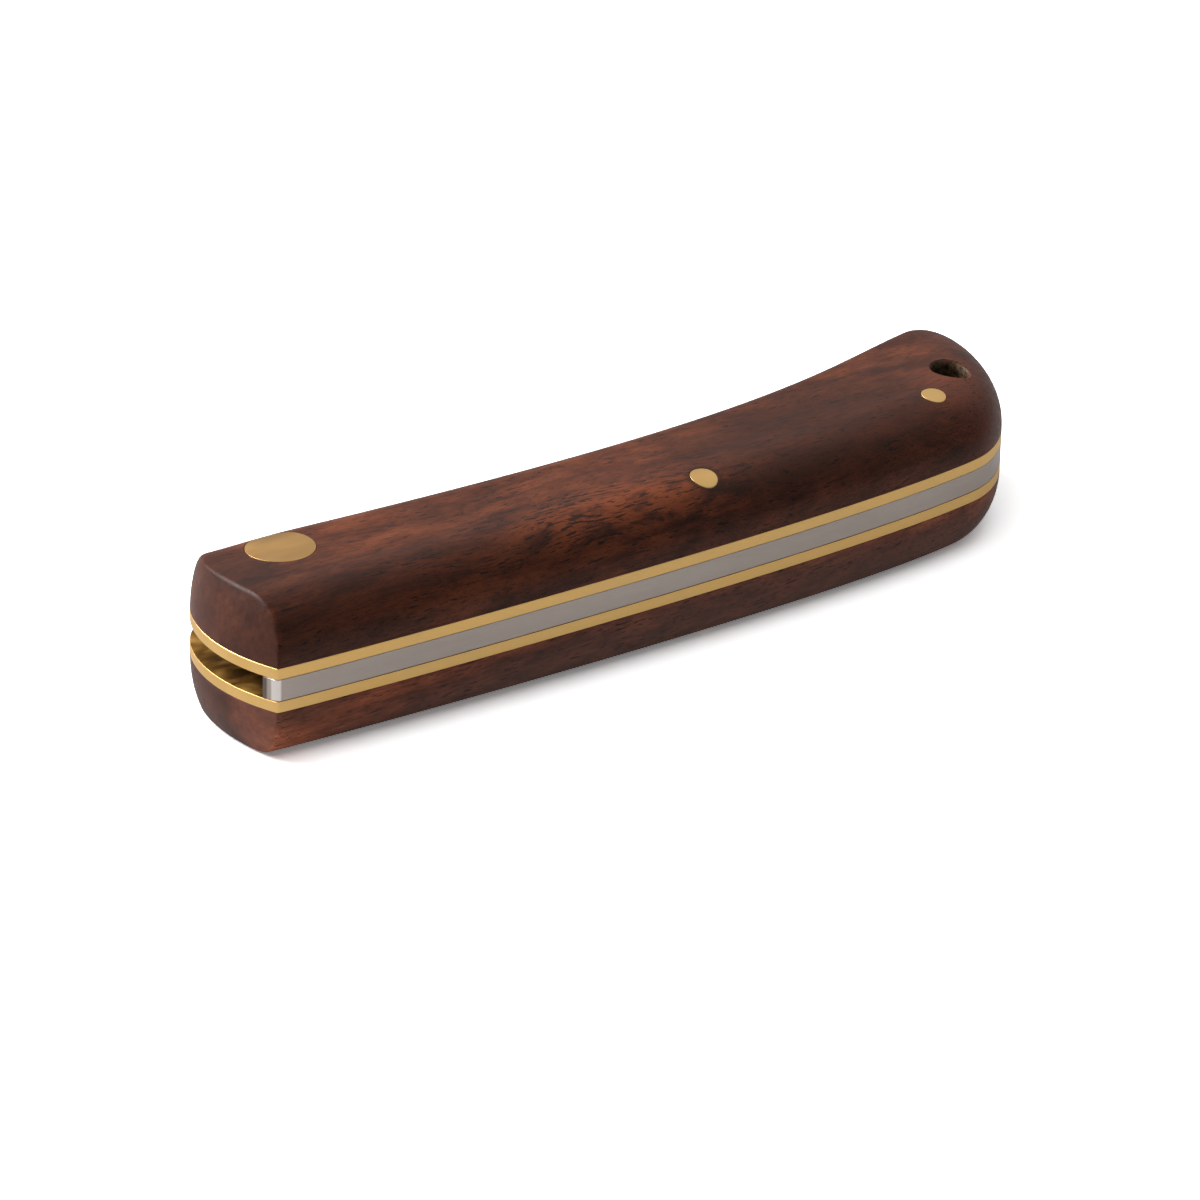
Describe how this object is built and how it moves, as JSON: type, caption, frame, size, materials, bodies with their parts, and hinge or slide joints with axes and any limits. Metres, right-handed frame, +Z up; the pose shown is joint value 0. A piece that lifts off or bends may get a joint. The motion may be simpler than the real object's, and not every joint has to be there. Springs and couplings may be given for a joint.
{
  "type": "folding pocket knife",
  "caption": "Slip-joint folding pocket knife with domed wooden scales, brass liners and bolsters, a steel back spring and a drop-point blade that folds into the handle.",
  "frame": {"origin": "on the surface that the closed knife lies on, under the middle of its footprint", "axes": "+X from the pivot end to the butt, -Y to the back of the handle, +Y to the side that the blade opens from, +Z up through the thickness"},
  "size_m": [0.1074, 0.0272, 0.018],
  "materials": {
    "scale_wood": "satin, oiled, fine dark pores along the length",
    "liner_brass": "brushed edges",
    "pin_brass": "satin, ground flush",
    "spring_steel": "brushed along the length",
    "blade_steel": "satin"
  },
  "bodies": {
    "handle": {"top_scale": "scale_wood", "bottom_scale": "scale_wood", "top_liner": "liner_brass", "bottom_liner": "liner_brass", "back_spring": "spring_steel", "pivot_pin": "pin_brass", "top_bolster": "pin_brass", "bottom_bolster": "pin_brass", "centre_pin": "pin_brass", "butt_pin": "pin_brass"},
    "blade": {"blade": "blade_steel"}
  },
  "joints": [
    {"name": "blade_pivot", "type": "hinge", "parent": "handle", "child": "blade", "pos_m": [-0.04296, 0.00097, 0.009], "axis": [0, 0, 1], "range_deg": [0, 180], "deforming": ["back_spring"]}
  ]
}
